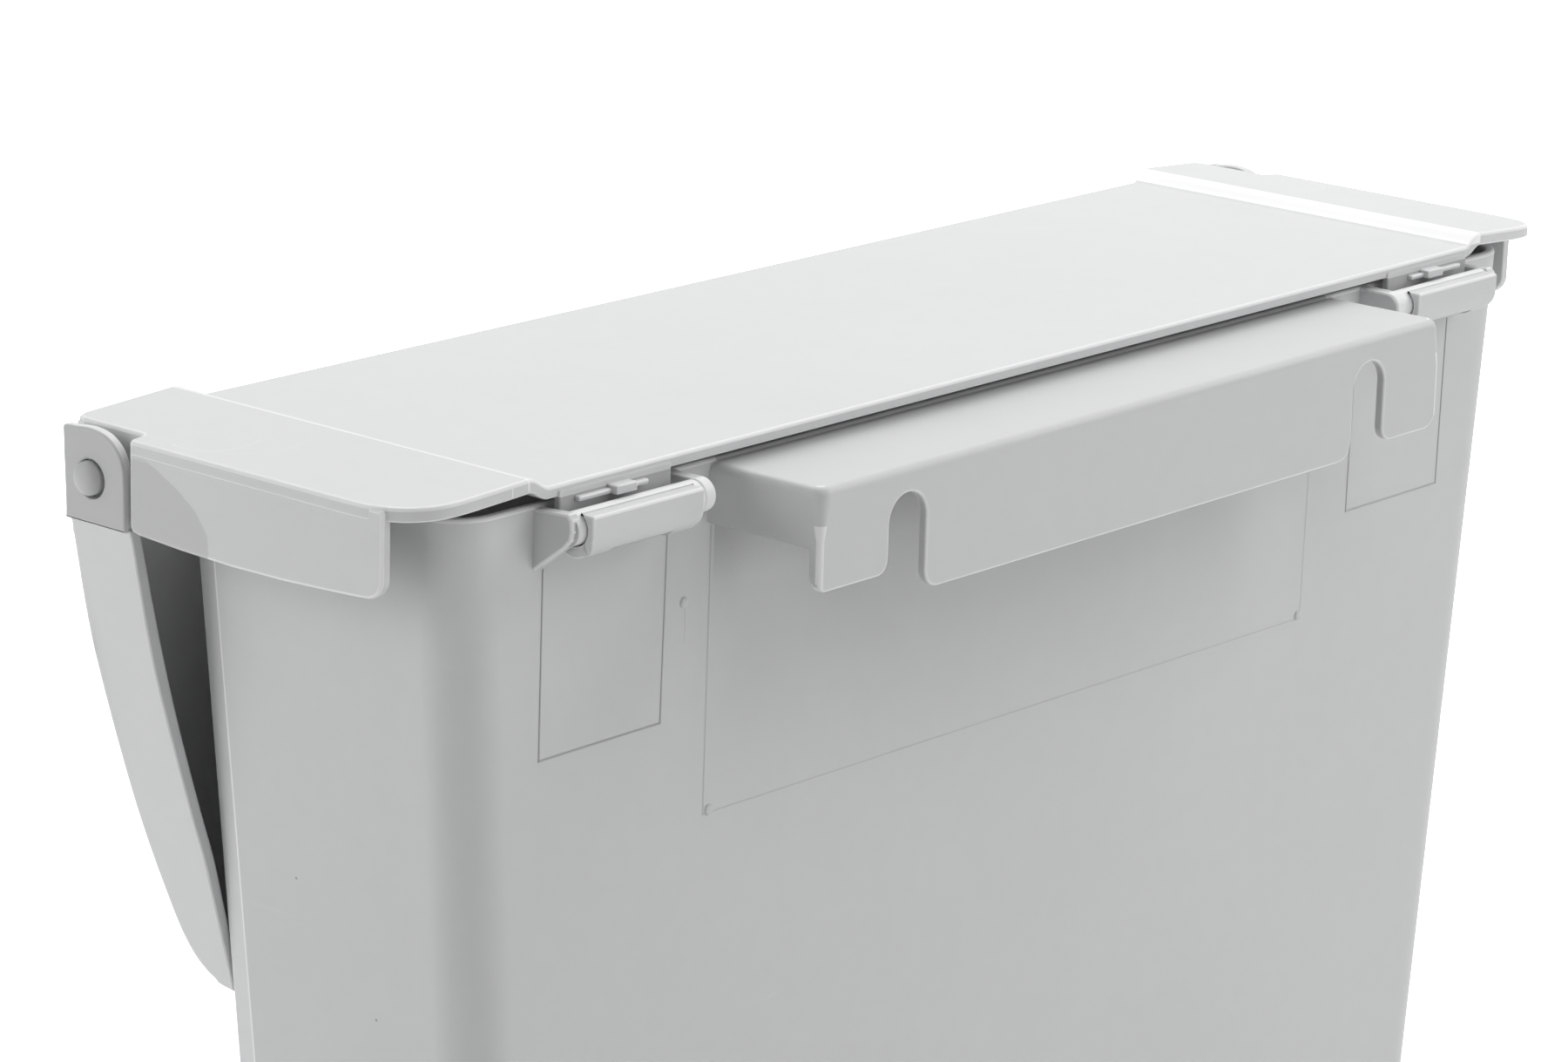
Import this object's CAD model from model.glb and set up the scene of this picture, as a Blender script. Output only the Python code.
import bpy, bmesh, math
import numpy as np
from mathutils import Vector, Matrix

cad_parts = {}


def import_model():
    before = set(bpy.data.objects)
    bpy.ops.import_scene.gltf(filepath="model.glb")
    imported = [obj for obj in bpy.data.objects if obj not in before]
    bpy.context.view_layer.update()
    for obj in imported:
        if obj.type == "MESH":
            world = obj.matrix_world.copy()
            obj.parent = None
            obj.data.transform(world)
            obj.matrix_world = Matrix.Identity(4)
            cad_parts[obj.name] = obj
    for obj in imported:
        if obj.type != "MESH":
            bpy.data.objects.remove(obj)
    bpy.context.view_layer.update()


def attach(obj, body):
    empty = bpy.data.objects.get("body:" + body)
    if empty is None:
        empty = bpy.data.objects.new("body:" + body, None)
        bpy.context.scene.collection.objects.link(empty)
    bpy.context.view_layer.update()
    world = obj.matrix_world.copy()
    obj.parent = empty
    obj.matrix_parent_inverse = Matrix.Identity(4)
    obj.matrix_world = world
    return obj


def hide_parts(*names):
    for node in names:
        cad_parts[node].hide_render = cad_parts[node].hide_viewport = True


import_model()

# All shapes below are drawn in millimetres in the drawing frame (z = 0 on the lid panel,
# y = 0 on its rear edge) and placed in the row frame by world().
MM, YS, ZS = 0.001, 36.4, 305.0
PI = math.pi


def world(p):
    p = np.asarray(p, float)
    return np.stack([p[:, 0], p[:, 1] + YS, p[:, 2] + ZS], 1) * MM


# ------------------------------------------------------------------ 2D helpers
def arc(cx, cy, r, a0, a1, n):
    t = np.radians(np.linspace(a0, a1, n + 1))
    return [(cx + r * math.cos(a), cy + r * math.sin(a)) for a in t]


def fillet(pts, rad=0.0, seg=5):
    """Rounds the corners of a closed outline; a point may carry its own radius as a third value."""
    out, n = [], len(pts)
    for i in range(n):
        p = np.array(pts[i][:2], float)
        r = pts[i][2] if len(pts[i]) > 2 else rad
        a = np.array(pts[i - 1][:2], float) - p
        b = np.array(pts[(i + 1) % n][:2], float) - p
        la, lb = np.linalg.norm(a), np.linalg.norm(b)
        a, b = a / la, b / lb
        ang = math.acos(max(-1, min(1, float(a @ b))))
        if r <= 0 or PI - ang < 0.03:
            out.append(tuple(p)); continue
        t = min(r / math.tan(ang / 2), la * 0.49, lb * 0.49)
        r2 = t * math.tan(ang / 2)
        s, e = p + a * t, p + b * t
        c = p + (a + b) / np.linalg.norm(a + b) * (r2 / math.sin(ang / 2))
        a0 = math.atan2(s[1] - c[1], s[0] - c[0]); a1 = math.atan2(e[1] - c[1], e[0] - c[0])
        d = (a1 - a0 + PI) % (2 * PI) - PI
        out += [(c[0] + r2 * math.cos(a0 + d * k / seg), c[1] + r2 * math.sin(a0 + d * k / seg)) for k in range(seg + 1)]
    return out


def ccw(p):
    p = np.asarray(p, float)
    a = np.sum(p[:, 0] * np.roll(p[:, 1], -1) - np.roll(p[:, 0], -1) * p[:, 1])
    return p if a > 0 else p[::-1].copy()


def clean(p, tol=1e-3):
    p = np.asarray(p, float)
    keep = np.linalg.norm(p - np.roll(p, 1, 0), axis=1) > tol
    return p[keep]


def inset(p, d):
    """Moves a counter-clockwise outline inwards by d (a number or one per point)."""
    e1 = p - np.roll(p, 1, 0); e2 = np.roll(p, -1, 0) - p
    e1 /= np.linalg.norm(e1, axis=1)[:, None]; e2 /= np.linalg.norm(e2, axis=1)[:, None]
    n1 = np.stack([-e1[:, 1], e1[:, 0]], 1); n2 = np.stack([-e2[:, 1], e2[:, 0]], 1)
    m = (n1 + n2) / np.maximum(1 + np.sum(n1 * n2, 1), 0.35)[:, None]
    return p + m * np.reshape(d, (-1, 1))


def spline(pts, n):
    """Centripetal Catmull-Rom through pts, n+1 evenly spaced samples."""
    P = np.asarray(pts, float)
    P = np.vstack([2 * P[0] - P[1], P, 2 * P[-1] - P[-2]])
    out = []
    for i in range(1, len(P) - 2):
        p0, p1, p2, p3 = P[i - 1:i + 3]
        t0 = 0; t1 = t0 + np.linalg.norm(p1 - p0) ** .5; t2 = t1 + np.linalg.norm(p2 - p1) ** .5; t3 = t2 + np.linalg.norm(p3 - p2) ** .5
        for t in np.linspace(t1, t2, 24, endpoint=False):
            a1 = (t1 - t) / (t1 - t0) * p0 + (t - t0) / (t1 - t0) * p1
            a2 = (t2 - t) / (t2 - t1) * p1 + (t - t1) / (t2 - t1) * p2
            a3 = (t3 - t) / (t3 - t2) * p2 + (t - t2) / (t3 - t2) * p3
            b1 = (t2 - t) / (t2 - t0) * a1 + (t - t0) / (t2 - t0) * a2
            b2 = (t3 - t) / (t3 - t1) * a2 + (t - t1) / (t3 - t1) * a3
            out.append((t2 - t) / (t2 - t1) * b1 + (t - t1) / (t2 - t1) * b2)
    out.append(P[-2])
    out = np.array(out)
    s = np.concatenate([[0], np.cumsum(np.linalg.norm(np.diff(out, axis=0), axis=1))])
    q = np.linspace(0, s[-1], n + 1)
    return np.stack([np.interp(q, s, out[:, k]) for k in range(out.shape[1])], 1)


# ------------------------------------------------------------------ mesh helpers
def obj_from(name, verts, faces):
    me = bpy.data.meshes.new(name)
    me.from_pydata([tuple(v) for v in world(verts)], [], faces)
    bm = bmesh.new(); bm.from_mesh(me)
    bmesh.ops.recalc_face_normals(bm, faces=bm.faces)
    bm.to_mesh(me); bm.free()
    o = bpy.data.objects.new(name, me)
    bpy.context.scene.collection.objects.link(o)
    return o


def skin(name, rings):
    """Closed skin through equal-count rings, with an n-gon at each end."""
    n = len(rings[0]); verts = np.vstack(rings); faces = []
    for k in range(len(rings) - 1):
        for i in range(n):
            a, b = k * n + i, k * n + (i + 1) % n
            faces.append((a, b, b + n, a + n))
    faces.append(tuple(range(n - 1, -1, -1)))
    faces.append(tuple((len(rings) - 1) * n + i for i in range(n)))
    return obj_from(name, verts, faces)


def rounding(h0, h1, r0, r1, n=3):
    """Ring list for a prism between h0 and h1 whose end edges are rounded by r0 and r1."""
    t = np.radians(np.linspace(0, 90, n + 1))
    low = [(h0 + r0 * (1 - math.cos(a)), r0 * (1 - math.sin(a))) for a in t] if r0 > 0 else [(h0, 0)]
    high = [(h1 - r1 * (1 - math.cos(a)), r1 * (1 - math.sin(a))) for a in t[::-1]] if r1 > 0 else [(h1, 0)]
    return low + high


def flare(h0, h1, r, n=3, over=2.0):
    """Ring list for a cutter that rounds the two edges it leaves at h0 and h1."""
    t = np.radians(np.linspace(0, 90, n + 1))
    low = [(h0 - over, -r)] + [(h0 + r * (1 - math.cos(a)), -r * (1 - math.sin(a))) for a in t]
    high = [(h1 - r * (1 - math.cos(a)), -r * (1 - math.sin(a))) for a in t[::-1]] + [(h1 + over, -r)]
    return low + high


AX = {
    "x": lambda p, h: np.stack([np.full(len(p), h), p[:, 0], p[:, 1]], 1),   # outline is (y, z)
    "y": lambda p, h: np.stack([p[:, 0], np.full(len(p), h), p[:, 1]], 1),   # outline is (x, z)
    "z": lambda p, h: np.stack([p[:, 0], p[:, 1], np.full(len(p), h)], 1),   # outline is (x, y)
}


def prism(name, outline, axis, rings):
    p = ccw(clean(outline))
    return skin(name, [AX[axis](inset(p, d), h) for h, d in rings])


def block(name, x0, x1, y0, y1, z0, z1, r=0.3):
    return prism(name, fillet([(x0, y0), (x1, y0), (x1, y1), (x0, y1)], r, 3), "z", rounding(z0, z1, r, r, 3))


def cyl_x(name, y, z, r, x0, x1, n=64, e0=0.0, e1=0.0):
    return prism(name, arc(y, z, r, 0, 360 * (n - 1) / n, n - 1), "x", rounding(x0, x1, e0, e1, 4))


def boolean(a, b, op):
    for solver in ("MANIFOLD", "EXACT"):
        m = a.modifiers.new("b", "BOOLEAN")
        m.object, m.operation, m.solver = b, op, solver
        dg = bpy.context.evaluated_depsgraph_get()
        me = bpy.data.meshes.new_from_object(a.evaluated_get(dg))
        a.modifiers.clear()
        if len(me.polygons) > 3 and (op != "DIFFERENCE" or len(me.polygons) >= 4):
            old = a.data; a.data = me; bpy.data.meshes.remove(old)
            break
    bpy.data.objects.remove(b)
    return a


def add(a, *more):
    for b in more:
        boolean(a, b, "UNION")
    return a


def cut(a, *more):
    for b in more:
        boolean(a, b, "DIFFERENCE")
    return a


def mirrored(o, name):
    me = o.data.copy()
    for v in me.vertices:
        v.co.x = -v.co.x
    me.flip_normals()
    m = bpy.data.objects.new(name, me)
    bpy.context.scene.collection.objects.link(m)
    return m


def tidy(o, angle=26):
    bm = bmesh.new(); bm.from_mesh(o.data)
    bmesh.ops.remove_doubles(bm, verts=bm.verts, dist=2e-6)
    bmesh.ops.dissolve_degenerate(bm, edges=bm.edges, dist=1e-6)
    bmesh.ops.recalc_face_normals(bm, faces=bm.faces)
    bm.to_mesh(o.data); bm.free()
    for p in o.data.polygons:
        p.use_smooth = True
    # mark the narrow facets of the rounded edges, so that the material can pale them as thin plastic does
    me = o.data; co_ = np.array([v.co for v in me.vertices]) * 1000.0; flag = np.zeros(len(me.polygons), np.float32)
    for k, f in enumerate(me.polygons):
        q = co_[list(f.vertices)]
        longest = np.linalg.norm(q - np.roll(q, 1, 0), axis=1).max()
        if f.area * 1e6 / max(longest, 1e-6) < 0.31 and abs(q[:, 0]).max() < 184.7 and not (abs(q[:, 0]).min() < 184.2 and abs(q[:, 0]).max() > 184.9) \
                and not (YS - 6.0 < q[:, 1].min() and q[:, 1].max() < YS - 2.2 and q[:, 2].max() < ZS - 16):
            flag[k] = 1.0
    at = me.attributes.new("edge", "FLOAT", "FACE"); at.data.foreach_set("value", flag)
    o.data.set_sharp_from_angle(angle=math.radians(angle))
    w = o.modifiers.new("weighted", "WEIGHTED_NORMAL")
    w.keep_sharp = True; w.weight = 50; w.mode = "FACE_AREA"
    return o


# ------------------------------------------------------------------ body
RIM = -4.1


def wall_y(z):
    return -3.07 - 0.0123 * (RIM - z)


def front_y(z):
    return -76.9 + 0.0264 * (RIM - z)


def body_outline(z, ins):
    d = RIM - z
    A = 172.05 - 0.0739 * d; yr = wall_y(z); yf = front_y(z); yc = -69.2 + 0.029 * d
    pts = fillet([(-A + 3.0, yf, 1.4), (A - 3.0, yf, 1.4), (A, yc, 1.4), (A, yr, 10.5), (-A, yr, 10.5), (-A, yc, 1.4)], 0, 14)
    return inset(ccw(pts), ins)


prof = [(3.75, -305.0)]
prof += [(5 - 5 * math.sin(a), -300 - 5 * math.cos(a)) for a in np.radians(np.linspace(20, 90, 7))]
prof += [(0.0, -250), (0.0, -200), (0.0, -150), (0.0, -100), (0.0, -50)]
prof += [(0.7 * (1 - math.cos(a)), RIM - 0.7 * (1 - math.sin(a))) for a in np.radians(np.linspace(0, 90, 5))]
prof += [(2.2 - 0.6 * (1 - math.cos(a)), RIM - 0.6 * (1 - math.sin(a))) for a in np.radians(np.linspace(90, 0, 5))]
prof += [(2.2, -50), (2.2, -100), (2.2, -200), (2.2, -297.4)]
prof += [(2.2 + 5 * (1 - math.cos(a)), -297.4 - 5 * math.sin(a)) for a in np.radians(np.linspace(15, 90, 6))]
shell = skin("bin_body_shape", [AX["z"](body_outline(z, i), z) for i, z in prof])

mouth = fillet([(-155, -99, 8), (155, -99, 8), (155, -17, 8), (-155, -17, 8)], 0, 8)
p = ccw(clean(mouth)); rings = []
for h, d in flare(0.0, 2.2, 0.6, 3, 3.0):
    q = inset(p, d); yy = front_y(q[:, 1]) + h
    rings.append(np.stack([q[:, 0], yy, q[:, 1]], 1))
cut(shell, skin("mouth_cut", rings))

# rear hanging bracket: a thin wrap of plate whose upper edge is softly rounded, less so lower down
BRX, BT, BRY = 102.5, -4.7, 25.3
rings = []
for h, d in rounding(-36, BT, 0, 2.0, 6):
    rv = 1.1 + 2.0 * max(0.0, min(1.0, (h + 15.0) / 9.0))
    q = fillet([(-BRX, -4.4, 0), (BRX, -4.4, 0), (BRX, BRY, rv), (-BRX, BRY, rv)], 0, 8)
    q = np.array(q); m = ccw(q); k = inset(m, d); k[:, 1] = np.where(m[:, 1] < 0, m[:, 1], k[:, 1]); rings.append(AX["z"](k, h))
for z in (-26.0, -20.0, -15.0, -12.0, -9.0):
    rv = 1.1 + 2.0 * max(0.0, min(1.0, (z + 15.0) / 9.0))
    q = ccw(np.array(fillet([(-BRX, -4.4, 0), (BRX, -4.4, 0), (BRX, BRY, rv), (-BRX, BRY, rv)], 0, 8)))
    rings.insert([r[0, 2] for r in rings].index(next(r[0, 2] for r in rings if r[0, 2] > z)), AX["z"](q, z))
br = skin("bracket", rings)
cut(br, prism("bracket_in", fillet([(-BRX + 2.2, -9, 0), (BRX - 2.2, -9, 0), (BRX - 2.2, BRY - 2.2, 0.8), (-BRX + 2.2, BRY - 2.2, 0.8)], 0, 4), "z", rounding(-60, BT - 2.2, 0, 0.8, 3)))
SX, SW, ST = 76.5, 5.65, -9.9
low = [(-120, -60, 0), (120, -60, 0), (120, -21.5, 0), (BRX + 0.6, -21.5, 0.6), (BRX - 0.6, -25.1, 1.8), (SX + SW, -25.1, 3.0), (SX + SW, ST, 5.6), (SX - SW, ST, 5.6),
       (SX - SW, -30.5, 4.0), (-SX + SW, -30.5, 4.0), (-SX + SW, ST, 5.6), (-SX - SW, ST, 5.6), (-SX - SW, -28.7, 3.4), (-BRX + 0.4, -28.7, 4.6), (-BRX - 0.1, -20.5, 1.0), (-120, -20.5, 0)]
cut(br, prism("bracket_low", fillet(low, 0, 9), "y", flare(BRY - 2.2, BRY, 0.45, 4, 12)))
endcut = fillet([(-120, -60), (120, -60), (120, BT - 11.9), (-120, BT - 11.9)], 0, 1)
cut(br, prism("bracket_ends", endcut, "y", [(-40, 0), (BRY - 2.6, 0)]))

# hinge: gusset, arm and rod
PY, PZ = 4.0, -7.6
gus = prism("gusset", fillet([(-4.4, -16.8, 0), (-3.2, -16.8, .5), (4.6, -10.9, 1.2), (6.2, -9.2, 1.2), (6.65, -7.4, 1.2), (6.4, -5.2, 1.0), (5.4, -4.1, .7), (-4.4, -4.8, 0)], 0, 6), "x", rounding(148.7, 151.2, 0.3, 0.55, 4))
arm = prism("arm", [(-4.4, PZ - 3.4)] + arc(PY, PZ, 3.4, -90, 90, 40) + [(-4.4, PZ + 3.4)], "x", rounding(112.0, 115.0, 0.6, 0.3, 5))
rod = cyl_x("rod", PY, PZ, 3.2, 112.6, 150.0, 80)
# sheared gate scar on the gusset's inner face, beside the rod
scar = prism("scar", fillet([(4.9, -9.9), (6.1, -9.3), (6.45, -7.6), (6.3, -5.9), (5.7, -5.0), (4.8, -5.4), (5.2, -7.6)], .25, 3), "x", rounding(148.15, 149.1, 0.3, 0, 3))
hinge = add(gus, rod, arm, scar)
hinge2 = mirrored(hinge, "hinge2")
body = add(shell, br, hinge, hinge2)



# witness lines left by the mould's sliding cores, standing a hair proud of the wall
def witness(name, x0, z0, x1, z1, w=0.32, up=0.12):
    dx, dz = x1 - x0, z1 - z0; L = math.hypot(dx, dz); nx, nz = -dz / L * w / 2, dx / L * w / 2
    c = [(x0 + nx, z0 + nz), (x1 + nx, z1 + nz), (x1 - nx, z1 - nz), (x0 - nx, z0 - nz)]
    v = [(x, wall_y(z) - 0.8, z) for x, z in c] + [(x, wall_y(z) + up, z) for x, z in c]
    return obj_from(name, v, [(0, 1, 2, 3), (4, 5, 6, 7), (0, 1, 5, 4), (1, 2, 6, 5), (2, 3, 7, 6), (3, 0, 4, 7)])


lines = [(148.4, -17.0, 148.3, -54.6), (148.5, -54.6, 114.4, -54.6), (114.5, -54.6, 114.0, -14.5),
         (-147.2, -17.0, -147.2, -55.7), (-147.4, -55.7, -112.0, -55.7), (-112.2, -55.7, -112.0, -14.5)]
for k, l in enumerate(lines):
    add(body, witness("w%d" % k, *l))
for k, l in enumerate([(101.4, -17.5, 101.2, -76.3), (101.4, -76.3, -97.2, -77.5), (-97.0, -77.5, -97.0, -32.0), (108.2, -33.0, 107.9, -39.5)]):
    add(body, witness("v%d" % k, *l, 0.26, 0.03))
for k, (x, z, r) in enumerate([(99.6, -75.7, 1.1), (-96.0, -76.6, 1.0), (108.8, -31.4, 1.0)]):
    ring = arc(x, z, r, 0, 345, 23)
    add(body, skin("pip%d" % k, [np.array([(a, wall_y(z) + h, b) for a, b in inset(ccw(ring), d)]) for h, d in [(-0.8, 0), (0.15, 0), (0.4, 0.25), (0.5, 0.6)]]))
for v in body.data.vertices:      # the far half is a touch wider than the near one
    if v.co.x < 0:
        v.co.x *= 1.011
body.name = "bin_body_skin"
tidy(body)

# ------------------------------------------------------------------ lid
JOG0, JOG1, JH, LHW = 150.0, 155.6, 2.4, 184.0


def lid_up(x):
    a = abs(x)
    if a <= JOG0: return 0.0
    if a <= JOG1:
        t = (a - JOG0) / (JOG1 - JOG0); return JH * t * t * (3 - 2 * t)
    return JH * (1 - (a - JOG1) / (LHW - JOG1))


corner = spline([(157, 0), (165, -0.7), (173.2, -1.7), (177.0, -3.1), (180.2, -5.8), (182.4, -9.6), (183.7, -14), (184, -19)], 28)
corner_far = spline([(157, 0), (165, -0.5), (173.2, -1.2), (178.4, -2.4), (181.8, -4.6), (183.7, -8.2), (184.4, -13), (184.6, -19)], 28)
notch = [(150, -94.8, 0), (155.6, -96.4, 3), (177.0, -98.1, 0.8), (178.6, -97.6, 0.8), (179.5, -95.5, 1), (179.5, -77.9, 1.0)]
right = notch + [(184.0, -77.9, 1.4)] + [(a, b, 0) for a, b in corner[::-1]]
left = notch + [(184.6, -77.9, 1.4)] + [(a, b, 0) for a, b in corner_far[::-1]]
plan = fillet(right + [(-a, b, r) for a, b, r in left[::-1]], 0, 6)
lid = prism("lid_shape", plan, "z", rounding(-2.2, 0.0, 0.35, 0.7, 4))
bm = bmesh.new(); bm.from_mesh(lid.data)
stations = list(np.linspace(JOG0, JOG1, 13)) + [160, 170, 178]
for s in stations:
    for sg in (1, -1):
        bmesh.ops.bisect_plane(bm, geom=bm.verts[:] + bm.edges[:] + bm.faces[:], dist=1e-7, plane_co=(sg * s * MM, 0, 0), plane_no=(1, 0, 0))
for v in bm.verts:
    t = max(0.0, min(1.0, (abs(v.co.x / MM) - 148) / 5))
    if v.co.z / MM < ZS - 1.2:
        v.co.z -= 0.6 * MM * t * t * (3 - 2 * t)
    v.co.z += lid_up(v.co.x / MM) * MM
bm.to_mesh(lid.data); bm.free()

skirt_out = [(-77.9, -0.6, 0), (-77.9, -16.9, 0), (-77.3, -18.0, 0.6), (-75.6, -18.4, 0.6), (-64, -19.0, 0), (-50, -19.3, 0), (-36, -19.1, 0), (-24, -18.5, 0), (-18.6, -18.2, 0)] + [(u, v, 0) for u, v in arc(-14.6, -13.4, 4.5, 275, 352, 12)] + [(-10.1, -0.6, 0)]
skirt = prism("skirt", fillet(skirt_out, 0, 8), "x", rounding(181.4, 183.6, 0.35, 0.6, 4))
lug_pts = [(-97.2, -0.6, 0), (-97.2, -3.0, 0.8), (-94.0, -4.2, 0)] + [(a, b, 0) for a, b in arc(-88.6, -9.7, 6.4, 150, 300, 18)] + [(-78.0, -17.0, 1), (-75.5, -17.0, 0), (-75.5, -0.6, 0)]
lug = prism("lug", fillet(lug_pts, 0, 4), "x", rounding(177.3, 179.5, 0.3, 0.3, 3))
web = block("web", 177.6, 182.6, -77.85, -75.5, -16.9, -0.8, 0.4)
SY, SZ, SR = -88.9, -9.55, 3.4
p = np.array(arc(SY, SZ, SR, 0, 352.5, 47))
dome_rings = [AX["x"](p, 178.6), AX["x"](p, 184.25)]
for a in np.radians(np.linspace(8, 84, 11)):
    dome_rings.append(AX["x"](np.array(arc(SY, SZ, SR * math.cos(a), 0, 352.5, 47)), 184.25 + 2.1 * math.sin(a)))
stub = skin("stub", dome_rings)

HI, HO, HT, HD = 3.5, 5.1, -4.5, 0.7
hp = [(PY - HO, -1.2, 0)] + [(u, v, 0) for u, v in arc(PY, PZ - HD, HO, 180, 360, 44)] + [(PY + HO, HT, 0.55), (PY + HI * math.cos(math.radians(62)), HT, 0.25)]
hp += [(u, v, 0) for u, v in arc(PY, PZ, HI, 61, -180, 60)] + [(PY - HI, -1.2, 0)]
hook = prism("hook", fillet(hp, 0, 4), "x", rounding(117.4, 148.0, 0.35, 0.35, 3))
# the outer leg's lower corners are rounded off, and the bend has a core window in its middle
for x0, xi, s in ((117.4, 121.0, 1), (148.0, 144.2, -1)):
    zb_ = PZ - HD - HO
    c = [(x0 - s * 3, zb_ - 8), (xi, zb_ - 8), (xi, zb_ - 0.1)] + [(xi - s * 3.7 * math.sin(v), zb_ - 0.1 + 3.7 * (1 - math.cos(v))) for v in np.radians(np.linspace(8, 90, 10))] + [(x0 - s * 3, zb_ + 3.7)]
    cut(hook, prism("hc", c, "y", [(PY + HI * 0.75, 0), (20, 0)]))
cut(hook, block("hw", 124.5, 141.0, PY - HI + 0.5, PY + HI - 0.1, -17, -9.2, 0.3))
bar = prism("bar", fillet([(-0.2, -2.75, 0), (1.55, -2.8, .25), (1.75, -3.1, .15), (1.65, -3.75, .25), (-0.2, -3.8, 0)], 0, 4), "x", rounding(125.0, 144.0, 0.2, 0.2, 3))
nub = block("nub", 129.6, 135.2, -0.2, 3.1, -3.9, -2.1, 0.28)
add(hook, bar, nub)
hook2 = mirrored(hook, "hook2")
for v in hook2.data.vertices:
    v.co.x -= 1.4 * MM
side = add(skirt, web, lug, stub)
side2 = mirrored(side, "side2")
add(lid, side, side2, hook, hook2)
for k, x in enumerate((-104, -35, 35, 104)):
    add(lid, block("rib%d" % k, x - 0.9, x + 0.9, -66, -7.0, -4.6, -1.4, 0.3))
lid.name = "lid_skin"
tidy(lid)

# ------------------------------------------------------------------ flap
half_w = lambda z: np.interp(z, [-130.0, -46.0, -18.2, 20.0], [156.9, 177.49, 183.3, 191.2])
front = spline([(-96.3, 0.0), (-96.0, -9), (-95.7, -17), (-95.9, -23.2), (-96.3, -38.3), (-95.8, -52.9), (-94.7, -67.4), (-93.0, -81.8), (-90.1, -96.0), (-86.9, -107.0), (-83.9, -112.1), (-79.5, -115.4), (-74.5, -116.3)], 90)
innr = spline([(-74.7, -102.1), (-74.9, -95.4), (-75.1, -87.7), (-76.2, -77.5), (-77.4, -63.1), (-78.2, -48.8), (-78.4, -34.4), (-78.2, -20.1), (-78.3, -18.2)], 50)
f_low = front[front[:, 1] < -18.2]
f_start = np.array([[np.interp(18.2, -front[:, 1], front[:, 0]), -18.2]])
out = ccw(clean(np.vstack([f_start, f_low, innr]), 0.02))
rad = np.where(out[:, 0] < -79.5, 1.3, 0.45)
rad = np.where((out[:, 1] > -18.6), 0.3, rad)


def flap_rings(p, r, thick, n=4):
    t = np.radians(np.linspace(0, 90, n + 1)); rings = []
    for sgn, seq in ((-1, t), (1, t[::-1])):
        for a in seq:
            q = inset(p, r * (1 - math.sin(a)))
            x = half_w(q[:, 1]) - thick - r * (1 - math.cos(a))
            rings.append(np.stack([sgn * x, q[:, 0], q[:, 1]], 1))
    return rings


flap = skin("flap_shape", flap_rings(out, rad, 0.0))
tang = np.gradient(front, axis=0); tang /= np.linalg.norm(tang, axis=1)[:, None]
fin = front + np.stack([-tang[:, 1], tang[:, 0]], 1) * 2.2
fin = fin[(fin[:, 1] > -114.0) & (fin[:, 1] < 0)]
holl = ccw(clean(np.vstack([[[fin[0, 0], 6.0]], fin, [[-40, -114.05], [-40, 6.0]]]), 0.02))
cut(flap, skin("flap_in", flap_rings(holl, np.full(len(holl), 1.0), 2.2)))
top_strip = [(a, b, 0) for a, b in front[(front[:, 1] < -14.2) & (front[:, 1] > -22)]]
x14 = float(np.interp(14.0, -front[:, 1], front[:, 0])); x22 = float(np.interp(22.0, -front[:, 1], front[:, 0]))
strip = [(x14, -14.0, 0.7)] + top_strip + [(x22 + 0.05, -22.0, 0), (x22 + 2.2, -22.0, 0), (x14 + 2.2, -14.0, 0.5)]
add(flap, prism("strip", fillet(strip, 0, 4), "x", rounding(-182.3, 182.3, 0.3, 0.3, 3)))
ear_f = [(a, b, 0) for a, b in front[(front[:, 1] < -0.8) & (front[:, 1] > -17.8)]]
ear_pts = [(-96.3, -0.2, 0.9)] + ear_f + [(-95.75, -18.6, 0.2), (-78.9, -18.6, 0.2)]
ear_pts += [(u, v, 0) for u, v in spline([(-79.05, -9.7), (-79.15, -8.0), (-79.5, -5.5), (-81.3, -2.4), (-84.25, -0.4), (-88.6, 0.35), (-93, 0.0)], 26)]
ear = prism("ear", fillet(ear_pts, 0, 14), "x", rounding(181.8, 184.0, 0.3, 0.4, 3))
ear2 = mirrored(ear, "ear2")
add(flap, ear, ear2)
hole = np.array(arc(-88.5, -9.65, 3.9, 0, 354, 59))
hole_c = skin("hole_c", [AX["x"](inset(ccw(hole), d), h) for h, d in flare(181.8, 184.0, 0.25, 3, 3)])
hole_c2 = mirrored(hole_c, "hole_c2")
cut(flap, hole_c, hole_c2)
flap.name = "front_flap_skin"
tidy(flap)


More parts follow.
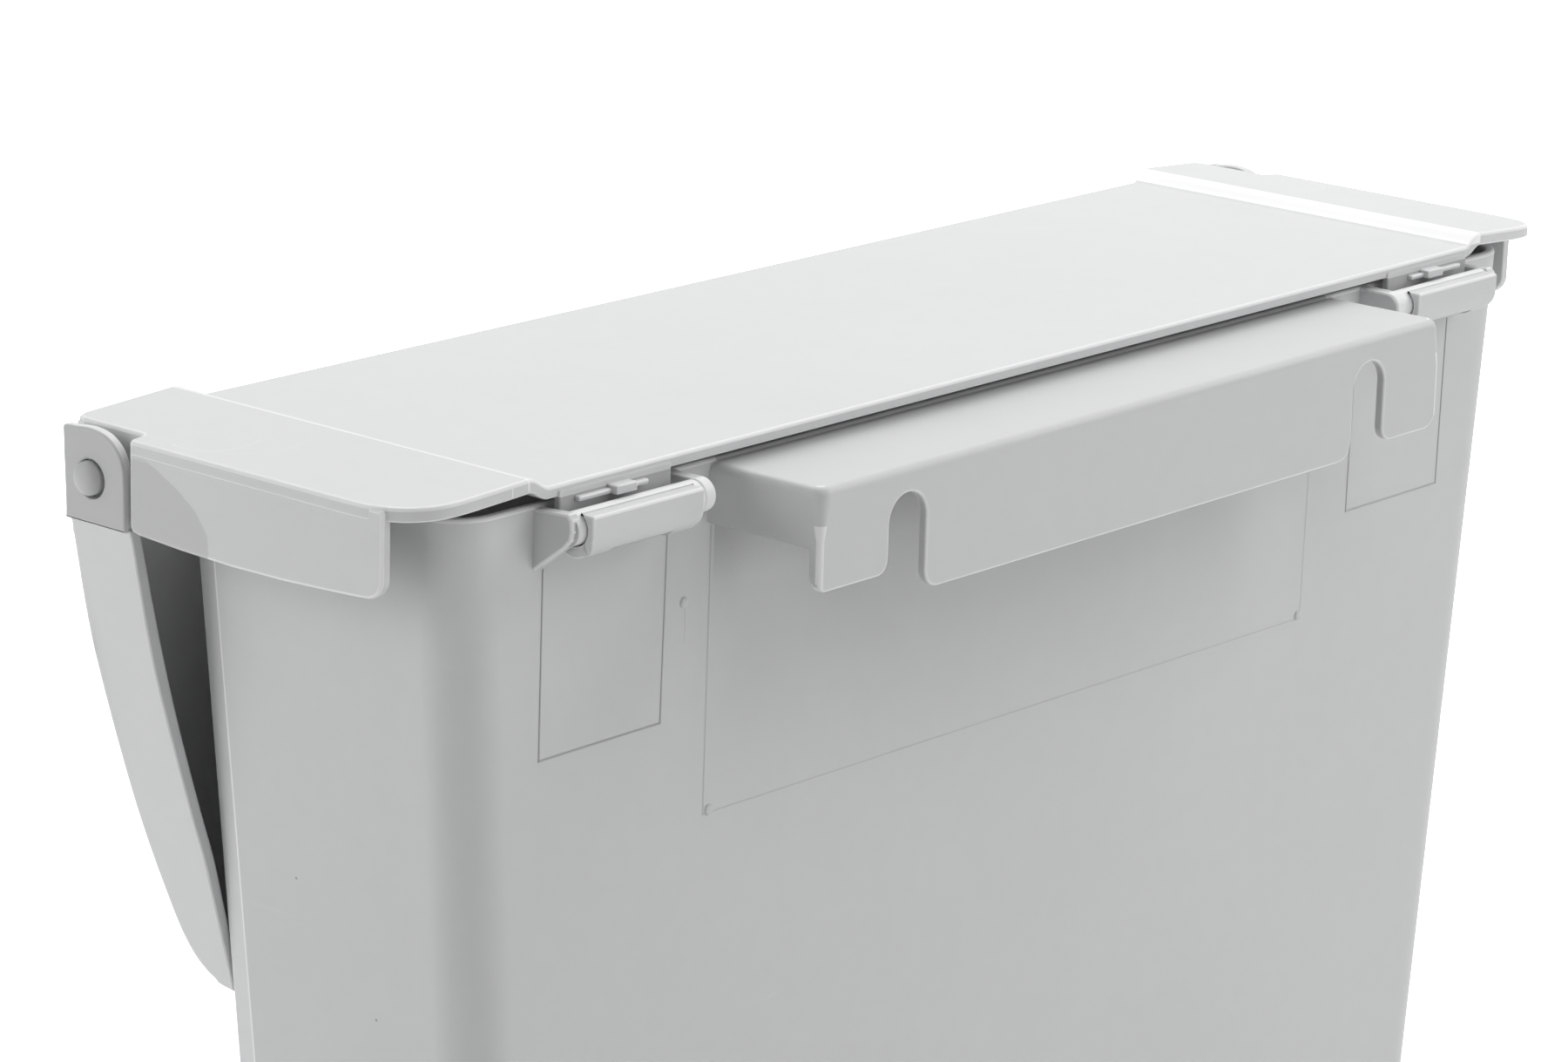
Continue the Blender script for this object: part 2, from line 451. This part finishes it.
# ------------------------------------------------------------------ materials
def plastic(name, base, rough, seed=0.0, grain=0.35, marks=None):
    m = bpy.data.materials.new(name); m.use_nodes = True
    nt = m.node_tree; N = nt.nodes; L = nt.links; N.clear()
    new = N.new
    outn = new("ShaderNodeOutputMaterial"); b = new("ShaderNodeBsdfPrincipled"); L.new(b.outputs[0], outn.inputs[0])
    tc = new("ShaderNodeTexCoord")
    mp = new("ShaderNodeMapping"); mp.inputs["Location"].default_value = (seed, seed * .7, seed * 1.3); L.new(tc.outputs["Object"], mp.inputs[0])

    def noise(scale, detail=2.0, rough_=0.5, dist=0.0):
        n = new("ShaderNodeTexNoise"); n.inputs["Scale"].default_value = scale; n.inputs["Detail"].default_value = detail
        n.inputs["Roughness"].default_value = rough_; n.inputs["Distortion"].default_value = dist
        L.new(mp.outputs[0], n.inputs["Vector"]); return n

    def ramp(src, a, b_, lo=(0, 0, 0, 1), hi=(1, 1, 1, 1)):
        r = new("ShaderNodeValToRGB"); r.color_ramp.elements[0].position = a; r.color_ramp.elements[1].position = b_
        r.color_ramp.elements[0].color = lo; r.color_ramp.elements[1].color = hi; L.new(src, r.inputs[0]); return r

    def mix(a, b_, fac, kind="MIX"):
        x = new("ShaderNodeMix"); x.data_type = "RGBA"; x.blend_type = kind
        for sock, val in ((x.inputs[6], a), (x.inputs[7], b_), (x.inputs[0], fac)):
            if hasattr(val, "is_output"): L.new(val, sock)
            elif isinstance(val, (int, float)): sock.default_value = val
            else: sock.default_value = val
        return x.outputs[2]

    # broad, faint colour drift of a moulded part, then fine flow mottling, then rare dark inclusions
    drift = ramp(noise(9.0, 3.0, 0.55, 0.6).outputs["Fac"], 0.3, 0.7, (0.975, 0.975, 0.975, 1), (1.0, 1.0, 1.0, 1))
    mott = ramp(noise(160.0, 4.0, 0.6).outputs["Fac"], 0.35, 0.65, (0.988, 0.988, 0.988, 1), (1.0, 1.0, 1.0, 1))
    col = mix((*base, 1), drift.outputs[0], 1.0, "MULTIPLY")
    col = mix(col, mott.outputs[0], 1.0, "MULTIPLY")
    vor = new("ShaderNodeTexVoronoi"); vor.inputs["Scale"].default_value = 46.0; L.new(mp.outputs[0], vor.inputs["Vector"])
    speck = new("ShaderNodeMath"); speck.operation = "LESS_THAN"; L.new(vor.outputs["Distance"], speck.inputs[0]); speck.inputs[1].default_value = 0.014
    wn = new("ShaderNodeTexWhiteNoise"); L.new(vor.outputs["Position"], wn.inputs["Vector"])
    rare = new("ShaderNodeMath"); rare.operation = "GREATER_THAN"; L.new(wn.outputs["Value"], rare.inputs[0]); rare.inputs[1].default_value = 0.8
    both = new("ShaderNodeMath"); both.operation = "MULTIPLY"; L.new(speck.outputs[0], both.inputs[0]); L.new(rare.outputs[0], both.inputs[1])
    col = mix(col, (0.30, 0.30, 0.29, 1), both.outputs[0])
    # scuffs: thin stretched noise, only where a second noise allows
    mp2 = new("ShaderNodeMapping"); mp2.inputs["Scale"].default_value = (26, 26, 210); mp2.inputs["Rotation"].default_value = (0.35, 0.2, 0.5); L.new(tc.outputs["Object"], mp2.inputs[0])
    sc = new("ShaderNodeTexNoise"); sc.inputs["Scale"].default_value = 1.0; sc.inputs["Detail"].default_value = 6; L.new(mp2.outputs[0], sc.inputs["Vector"])
    scr = ramp(sc.outputs["Fac"], 0.66, 0.70)
    area = ramp(noise(14.0, 2.0).outputs["Fac"], 0.55, 0.68)
    sm = new("ShaderNodeMath"); sm.operation = "MULTIPLY"; L.new(scr.outputs[0], sm.inputs[0]); L.new(area.outputs[0], sm.inputs[1])
    sm2 = new("ShaderNodeMath"); sm2.operation = "MULTIPLY"; L.new(sm.outputs[0], sm2.inputs[0]); sm2.inputs[1].default_value = 0.10
    col = mix(col, (0.88, 0.88, 0.88, 1), sm2.outputs[0])
    # moulded edges read paler: the rounded edges' facets, and a thin band beside them
    wide = new("ShaderNodeBevel"); wide.samples = 4; wide.inputs["Radius"].default_value = 0.0006
    geo = new("ShaderNodeNewGeometry"); dt = new("ShaderNodeVectorMath"); dt.operation = "DOT_PRODUCT"
    L.new(wide.outputs[0], dt.inputs[0]); L.new(geo.outputs["Normal"], dt.inputs[1])
    em = new("ShaderNodeMapRange"); L.new(dt.outputs["Value"], em.inputs[0])
    em.inputs[1].default_value = 0.996; em.inputs[2].default_value = 0.95; em.inputs[3].default_value = 0.0; em.inputs[4].default_value = 0.3
    fa_ = new("ShaderNodeAttribute"); fa_.attribute_name = "edge"
    ef = new("ShaderNodeMath"); ef.operation = "MAXIMUM"; L.new(em.outputs[0], ef.inputs[0]); L.new(fa_.outputs["Fac"], ef.inputs[1])
    ef2 = new("ShaderNodeMath"); ef2.operation = "MULTIPLY"; L.new(ef.outputs[0], ef2.inputs[0]); ef2.inputs[1].default_value = 0.58
    col = mix(col, (0.95, 0.95, 0.955, 1), ef2.outputs[0])
    if marks:
        col = marks(nt, tc, col, mix)
    L.new(col, b.inputs["Base Color"])
    # roughness: satin, with soft patches and slightly duller scuffs
    rr = new("ShaderNodeMapRange"); L.new(noise(22.0, 3.0).outputs["Fac"], rr.inputs[0])
    rr.inputs[1].default_value = 0.3; rr.inputs[2].default_value = 0.7; rr.inputs[3].default_value = rough - 0.04; rr.inputs[4].default_value = rough + 0.05
    ra = new("ShaderNodeMath"); ra.operation = "ADD"; L.new(rr.outputs[0], ra.inputs[0]); L.new(sm2.outputs[0], ra.inputs[1]); L.new(ra.outputs[0], b.inputs["Roughness"])
    b.inputs["IOR"].default_value = 1.49
    b.inputs["Subsurface Weight"].default_value = 0.06
    b.inputs["Subsurface Radius"].default_value = (0.0025, 0.0024, 0.0023)
    b.inputs["Subsurface Scale"].default_value = 1.0
    # relief: edge softening, fine moulded grain, slow sink waviness
    g1 = noise(2600.0, 2.0, 0.5); b1 = new("ShaderNodeBump"); b1.inputs["Strength"].default_value = grain; b1.inputs["Distance"].default_value = 0.00003
    L.new(g1.outputs["Fac"], b1.inputs["Height"]); L.new(wide.outputs[0], b1.inputs["Normal"])
    g2 = noise(30.0, 2.0, 0.4); b2 = new("ShaderNodeBump"); b2.inputs["Strength"].default_value = 0.25; b2.inputs["Distance"].default_value = 0.0004
    L.new(g2.outputs["Fac"], b2.inputs["Height"]); L.new(b1.outputs[0], b2.inputs["Normal"])
    L.new(b2.outputs[0], b.inputs["Normal"])
    return m


def math_node(nt, op, a_, b_=None, c_=None):
    n = nt.nodes.new("ShaderNodeMath"); n.operation = op
    for k, v in enumerate((a_, b_, c_)):
        if v is None: continue
        if hasattr(v, "is_output"): nt.links.new(v, n.inputs[k])
        else: n.inputs[k].default_value = v
    return n.outputs[0]


def body_marks(nt, tc, col, mix):
    """Witness lines read as thin grey lines, the centre ones barely."""
    sep = nt.nodes.new("ShaderNodeSeparateXYZ"); nt.links.new(tc.outputs["Object"], sep.inputs[0])
    x = math_node(nt, "MULTIPLY", sep.outputs[0], 1000.0); z = math_node(nt, "MULTIPLY_ADD", sep.outputs[2], 1000.0, -ZS)
    rear = math_node(nt, "GREATER_THAN", sep.outputs[1], (YS - 6.0) * MM)
    rear = math_node(nt, "MULTIPLY", rear, math_node(nt, "LESS_THAN", sep.outputs[1], (YS - 2.4) * MM))
    # wall behind the bracket's plate, deep in its shade
    deep = math_node(nt, "MULTIPLY", math_node(nt, "ADD", z, 30.0), 1 / 13.0); deep.node.use_clamp = True
    inbr = math_node(nt, "LESS_THAN", math_node(nt, "ABSOLUTE", x), 100.5)
    col = mix(col, (0.34, 0.34, 0.345, 1), math_node(nt, "MULTIPLY", math_node(nt, "MULTIPLY", deep, rear), math_node(nt, "MULTIPLY", inbr, 0.6)))
    for x0, z0, x1, z1, w_, k in ((148.4, -17, 148.3, -54.6, .2, .75), (148.4, -54.6, 114.5, -54.6, .2, .75), (114.5, -54.6, 114.0, -14.5, .2, .6),
                                  (-148.8, -17, -148.8, -55.7, .2, .55), (-148.8, -55.7, -113.4, -55.7, .2, .55), (-113.4, -55.7, -113.2, -14.5, .2, .4),
                                  (101.4, -17.5, 101.2, -76.3, .2, .45), (101.4, -76.3, -98.3, -77.5, .16, .28), (-98.1, -77.5, -98.1, -32, .16, .28)):
        L_ = math.hypot(x1 - x0, z1 - z0); ux, uz = (x1 - x0) / L_, (z1 - z0) / L_
        dist = math_node(nt, "ABSOLUTE", math_node(nt, "ADD", math_node(nt, "MULTIPLY_ADD", x, -uz, uz * x0), math_node(nt, "MULTIPLY_ADD", z, ux, -ux * z0)))
        along = math_node(nt, "ADD", math_node(nt, "MULTIPLY_ADD", x, ux, -ux * x0), math_node(nt, "MULTIPLY_ADD", z, uz, -uz * z0))
        mid = math_node(nt, "LESS_THAN", math_node(nt, "ABSOLUTE", math_node(nt, "SUBTRACT", along, L_ / 2)), L_ / 2 + 0.2)
        f = math_node(nt, "MULTIPLY", math_node(nt, "MULTIPLY", math_node(nt, "LESS_THAN", dist, w_), mid), math_node(nt, "MULTIPLY", rear, k))
        col = mix(col, (0.38, 0.38, 0.385, 1), f)
    return col


def lid_marks(nt, tc, col, mix):
    """Smoother, darker patch at the front of each skirt with a curved edge, and two faint arc scuffs on the raised strip."""
    sep = nt.nodes.new("ShaderNodeSeparateXYZ"); nt.links.new(tc.outputs["Object"], sep.inputs[0])
    y = math_node(nt, "MULTIPLY_ADD", sep.outputs[1], 1000.0, -YS); z = math_node(nt, "MULTIPLY_ADD", sep.outputs[2], 1000.0, -ZS)
    x = math_node(nt, "ABSOLUTE", math_node(nt, "MULTIPLY", sep.outputs[0], 1000.0))
    # patch edge: y of the boundary falls towards the top of the skirt
    zz = math_node(nt, "ADD", z, 17.0)
    edge = math_node(nt, "MULTIPLY_ADD", math_node(nt, "MULTIPLY", zz, zz), -0.09, -56.5)
    wob = nt.nodes.new("ShaderNodeTexNoise"); wob.inputs["Scale"].default_value = 300.0; nt.links.new(tc.outputs["Object"], wob.inputs["Vector"])
    edge = math_node(nt, "MULTIPLY_ADD", wob.outputs["Fac"], 1.6, edge)
    inside = math_node(nt, "MULTIPLY", math_node(nt, "SUBTRACT", edge, y), 1.6); inside.node.use_clamp = True
    low_ = math_node(nt, "MULTIPLY", math_node(nt, "SUBTRACT", -2.6, z), 0.8); low_.node.use_clamp = True
    side_ = math_node(nt, "GREATER_THAN", x, 182.9)
    f = math_node(nt, "MULTIPLY", math_node(nt, "MULTIPLY", inside, low_), math_node(nt, "MULTIPLY", side_, 0.62))
    col = mix(col, (0.47, 0.47, 0.475, 1), f)
    # crest of the shoulder's step, and the shaded recess over the hinge
    xs = math_node(nt, "MULTIPLY", sep.outputs[0], 1000.0)
    crest = math_node(nt, "LESS_THAN", math_node(nt, "ABSOLUTE", math_node(nt, "SUBTRACT", xs, 155.8)), 0.3)
    slope = math_node(nt, "LESS_THAN", math_node(nt, "ABSOLUTE", math_node(nt, "ADD", xs, 153.4)), 2.2)
    up = math_node(nt, "GREATER_THAN", z, 0.15)
    col = mix(col, (0.97, 0.97, 0.97, 1), math_node(nt, "MULTIPLY", math_node(nt, "MULTIPLY", crest, up), 0.5))
    col = mix(col, (0.97, 0.97, 0.97, 1), math_node(nt, "MULTIPLY", math_node(nt, "MULTIPLY", slope, up), 0.8))
    rec = math_node(nt, "MULTIPLY", math_node(nt, "LESS_THAN", math_node(nt, "ABSOLUTE", math_node(nt, "SUBTRACT", y, -0.1)), 0.72), math_node(nt, "LESS_THAN", z, -2.45))
    col = mix(col, (0.36, 0.36, 0.365, 1), math_node(nt, "MULTIPLY", math_node(nt, "MULTIPLY", rec, math_node(nt, "LESS_THAN", x, 150.0)), 0.8))
    for cx, cy, rr, w_, k in ((172.0, -66.0, 9.0, 0.10, 0.30), (166.5, -62.5, 13.0, 0.07, 0.16)):
        dx = math_node(nt, "SUBTRACT", x, cx); dy = math_node(nt, "SUBTRACT", y, cy)
        rad_ = math_node(nt, "SQRT", math_node(nt, "ADD", math_node(nt, "MULTIPLY", dx, dx), math_node(nt, "MULTIPLY", dy, dy)))
        ring = math_node(nt, "LESS_THAN", math_node(nt, "ABSOLUTE", math_node(nt, "SUBTRACT", rad_, rr)), w_)
        sect = math_node(nt, "GREATER_THAN", math_node(nt, "ADD", dx, dy), rr * 0.55)
        g = math_node(nt, "MULTIPLY", math_node(nt, "MULTIPLY", ring, sect), math_node(nt, "MULTIPLY", math_node(nt, "GREATER_THAN", z, 0.2), k))
        col = mix(col, (0.95, 0.95, 0.95, 1), g)
    return col


def flap_marks(nt, tc, col, mix):
    """The ears carry a duller, slightly darker finish than the rest of the flap."""
    sep = nt.nodes.new("ShaderNodeSeparateXYZ"); nt.links.new(tc.outputs["Object"], sep.inputs[0])
    z = math_node(nt, "MULTIPLY_ADD", sep.outputs[2], 1000.0, -ZS)
    x = math_node(nt, "ABSOLUTE", math_node(nt, "MULTIPLY", sep.outputs[0], 1000.0))
    f = math_node(nt, "MULTIPLY", math_node(nt, "GREATER_THAN", z, -18.35), math_node(nt, "MULTIPLY", math_node(nt, "GREATER_THAN", x, 183.5), 0.8))
    return mix(col, (0.47, 0.47, 0.475, 1), f)


mats = {
    "bin_body": plastic("body_polypropylene", (0.60, 0.603, 0.607), 0.42, seed=0.0, marks=body_marks),
    "lid": plastic("lid_polypropylene", (0.64, 0.643, 0.647), 0.36, seed=3.1, marks=lid_marks),
    "front_flap": plastic("flap_polypropylene", (0.67, 0.673, 0.677), 0.38, seed=7.7, marks=flap_marks),
}
for o, node, slot, bd in ((body, "bin_body", "body_plastic", "body"), (lid, "lid", "lid_plastic", "lid"), (flap, "front_flap", "flap_plastic", "flap")):
    o.data.materials.clear(); o.data.materials.append(mats[node])
    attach(o, bd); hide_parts(node)

# ------------------------------------------------------------------ stage, light, camera
fm = bpy.data.materials.new("pale_floor"); fm.use_nodes = True
nt = fm.node_tree; nt.nodes.clear()
fo = nt.nodes.new("ShaderNodeOutputMaterial"); fb = nt.nodes.new("ShaderNodeBsdfDiffuse"); fb.inputs[0].default_value = (0.86, 0.86, 0.86, 1)
fe = nt.nodes.new("ShaderNodeEmission"); fe.inputs[0].default_value = (1, 1, 1, 1); ft = nt.nodes.new("ShaderNodeTexCoord"); fl = nt.nodes.new("ShaderNodeVectorMath"); fl.operation = "LENGTH"; fr = nt.nodes.new("ShaderNodeMapRange")
nt.links.new(ft.outputs["Object"], fl.inputs[0]); nt.links.new(fl.outputs["Value"], fr.inputs[0]); nt.links.new(fr.outputs[0], fe.inputs[1])
fr.interpolation_type = "SMOOTHSTEP"; fr.inputs[1].default_value = 0.25; fr.inputs[2].default_value = 1.3; fr.inputs[3].default_value = 0.6; fr.inputs[4].default_value = 1.1
fa = nt.nodes.new("ShaderNodeAddShader"); lp = nt.nodes.new("ShaderNodeLightPath"); fx = nt.nodes.new("ShaderNodeMixShader")
nt.links.new(fb.outputs[0], fa.inputs[0]); nt.links.new(fe.outputs[0], fa.inputs[1])
nt.links.new(lp.outputs["Is Camera Ray"], fx.inputs[0]); nt.links.new(fb.outputs[0], fx.inputs[1]); nt.links.new(fa.outputs[0], fx.inputs[2]); nt.links.new(fx.outputs[0], fo.inputs[0])
bpy.ops.mesh.primitive_plane_add(size=14, location=(0, 0, -0.0005)); floor = bpy.context.object; floor.name = "floor"; floor.data.materials.append(fm)

LIGHTS = [("end_a", -10, 15, 1.8, 1.2, 1.6, 5.4), ("end_b", -45, 15, 1.8, 1.2, 1.6, 16.5), ("rear_a", 100, 15, 1.8, 1.2, 1.6, 8.5), ("rear_b", 130, 15, 1.8, 1.2, 1.6, 2.7),
          ("rear_high", 150, 40, 1.9, 1.0, 1.0, 12.1), ("far_wall", 220, 10, 1.8, 3.4, 2.2, 25.0), ("top_far", 220, 60, 1.9, 1.6, 1.4, 22.5),
          ("top_near", 40, 62, 1.9, 1.4, 1.2, 3.4), ("top_side", 262, 46, 1.9, 0.9, 0.7, 2.3), ("rear_top", 75, 50, 1.9, 1.0, 1.0, 4.6)]

w = bpy.data.worlds.new("studio"); bpy.context.scene.world = w; w.use_nodes = True
wn_ = w.node_tree; wn_.nodes.clear()
wo = wn_.nodes.new("ShaderNodeOutputWorld"); b_cam = wn_.nodes.new("ShaderNodeBackground"); b_lit = wn_.nodes.new("ShaderNodeBackground"); wx = wn_.nodes.new("ShaderNodeMixShader"); wl = wn_.nodes.new("ShaderNodeLightPath")
b_cam.inputs[0].default_value = (1, 1, 1, 1); b_cam.inputs[1].default_value = 1.05
b_lit.inputs[0].default_value = (1, 1, 1, 1); b_lit.inputs[1].default_value = 0.008
wn_.links.new(wl.outputs["Is Camera Ray"], wx.inputs[0]); wn_.links.new(b_lit.outputs[0], wx.inputs[1]); wn_.links.new(b_cam.outputs[0], wx.inputs[2]); wn_.links.new(wx.outputs[0], wo.inputs[0])


def softbox(name, az, el, dist, sx, sy, power):
    """Area light at azimuth az (from +X) and elevation el about the bin, facing it, unseen by the camera."""
    l = bpy.data.lights.new(name, "AREA"); l.shape = "RECTANGLE"; l.size, l.size_y, l.energy = sx, sy, power * 0.945
    o = bpy.data.objects.new(name, l); bpy.context.scene.collection.objects.link(o)
    u, v = math.radians(az), math.radians(el)
    d = Vector((math.cos(u) * math.cos(v), math.sin(u) * math.cos(v), math.sin(v)))
    o.location = Vector((0, 0, 0.2)) + d * dist; o.rotation_euler = (-d).to_track_quat("-Z", "Y").to_euler(); o.visible_camera = False; o.visible_glossy = name != "end_b"
    return o


for args in LIGHTS:
    softbox(*args)

cam = bpy.data.cameras.new("camera"); co = bpy.data.objects.new("camera", cam); bpy.context.scene.collection.objects.link(co)
F, AZ, EL, ROLL, TX, TY, DIST = 6073.1155, 130.6563, 15.6013, 1.5454, 55.5363, 36.1844, 1084.9146
a, e, r = map(math.radians, (AZ, EL, ROLL))
zb = np.array([math.sin(a) * math.cos(e), -math.cos(a) * math.cos(e), math.sin(e)])
xb = np.cross([0, 0, 1.0], zb); xb /= np.linalg.norm(xb); yb = np.cross(zb, xb)
X = math.cos(r) * xb + math.sin(r) * yb; Y = -math.sin(r) * xb + math.cos(r) * yb
R = np.array([X, Y, zb]); pos = R.T @ np.array([-TX, -TY, DIST])
co.matrix_world = Matrix(((X[0], Y[0], zb[0], pos[0] * MM), (X[1], Y[1], zb[1], (pos[1] + YS) * MM), (X[2], Y[2], zb[2], (pos[2] + ZS) * MM), (0, 0, 0, 1)))
cam.sensor_width = 36.0; cam.sensor_fit = "HORIZONTAL"; cam.lens = F / 1800 * 36.0
cam.clip_start, cam.clip_end = 0.05, 50
cam.dof.use_dof = False
bpy.context.scene.camera = co
vs = bpy.context.scene.view_settings
vs.view_transform = "Standard"; vs.look = "None"; vs.exposure = 0.0; vs.gamma = 1.0
